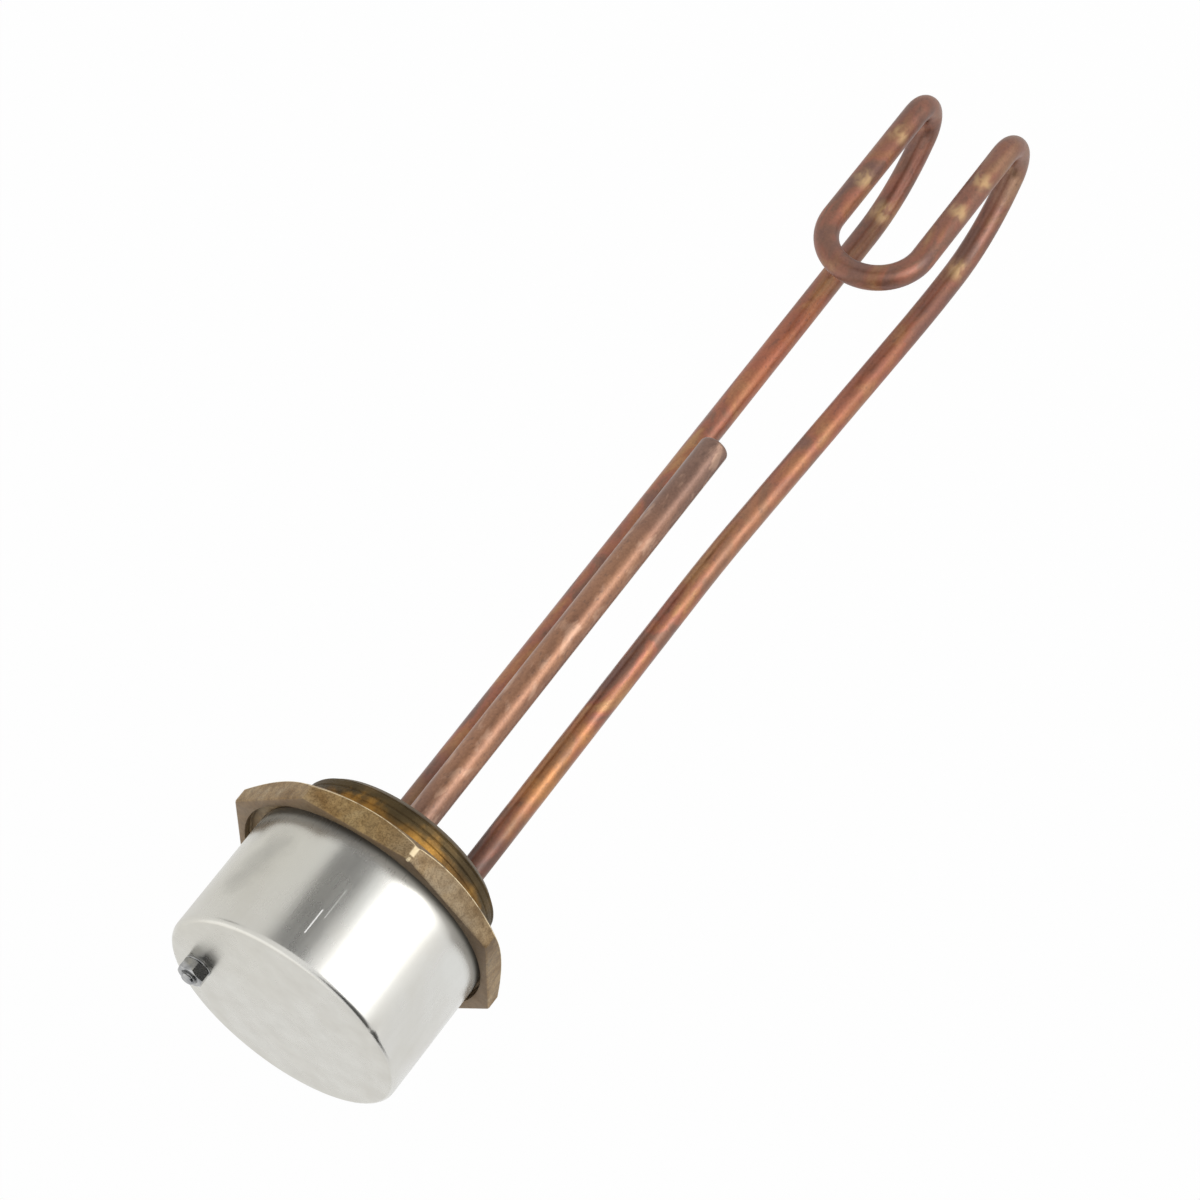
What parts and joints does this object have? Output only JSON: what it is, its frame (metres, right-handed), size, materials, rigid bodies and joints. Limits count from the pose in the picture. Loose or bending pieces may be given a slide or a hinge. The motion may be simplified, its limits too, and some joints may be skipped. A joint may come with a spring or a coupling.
{
  "type": "screw plug immersion heater",
  "caption": "Water heater with a threaded brass boss, a folded copper element and thermostat pocket below it, and a round metal cover over the terminals.",
  "frame": {"origin": "centre of the flange's sealing face, on the thread's axis", "axes": "+Z along the thread's axis towards the cover, the element hangs to -Z; +X from the left leg of the element to the right leg"},
  "size_m": [0.0886, 0.0886, 0.3867],
  "materials": {
    "cast_brass": "dull cast, tan",
    "copper": "oxidised copper tube",
    "pocket_copper": "oxidised copper tube",
    "magnesia": "matte",
    "brass": "bright turned",
    "steel": "plain",
    "zinc_steel": "zinc plated",
    "cover_sheet": "satin plated sheet",
    "moulding": "moulded",
    "red_plastic": "moulded",
    "pale_plastic": "moulded",
    "rubber": "matte"
  },
  "bodies": {
    "heater": {"boss": "cast_brass", "element_sheath": "copper", "element_filling": "magnesia", "cold_pins": "steel", "end_seals": "magnesia", "pin_washers": "brass", "pin_nuts": "brass", "link_strap": "brass", "thermostat_pocket": "pocket_copper", "thermostat_rod": "brass", "thermostat_body": "moulding", "terminal_blocks": "brass", "terminal_screws": "steel", "earth_screw": "brass", "earth_washer": "brass", "cover_stud": "zinc_steel", "stud_locknut": "zinc_steel"},
    "cover_body": {"cover": "cover_sheet", "cover_washer": "zinc_steel", "cover_nut": "zinc_steel", "cable_grommet": "rubber"},
    "dial_body": {"thermostat_dial": "red_plastic"},
    "button_body": {"reset_button": "pale_plastic"}
  },
  "joints": [
    {"name": "cover_lift", "type": "slide", "parent": "heater", "child": "cover_body", "axis": [0, 0, 1], "range_m": [0, 0.06]},
    {"name": "dial_turn", "type": "hinge", "parent": "heater", "child": "dial_body", "pos_m": [0.0072, 0.0082, 0.028], "axis": [0, 0, 1], "range_deg": [0, 270]},
    {"name": "reset_press", "type": "slide", "parent": "heater", "child": "button_body", "axis": [0, 0, -1], "range_m": [0, 0.0015], "stiffness_N_per_m": 400}
  ]
}
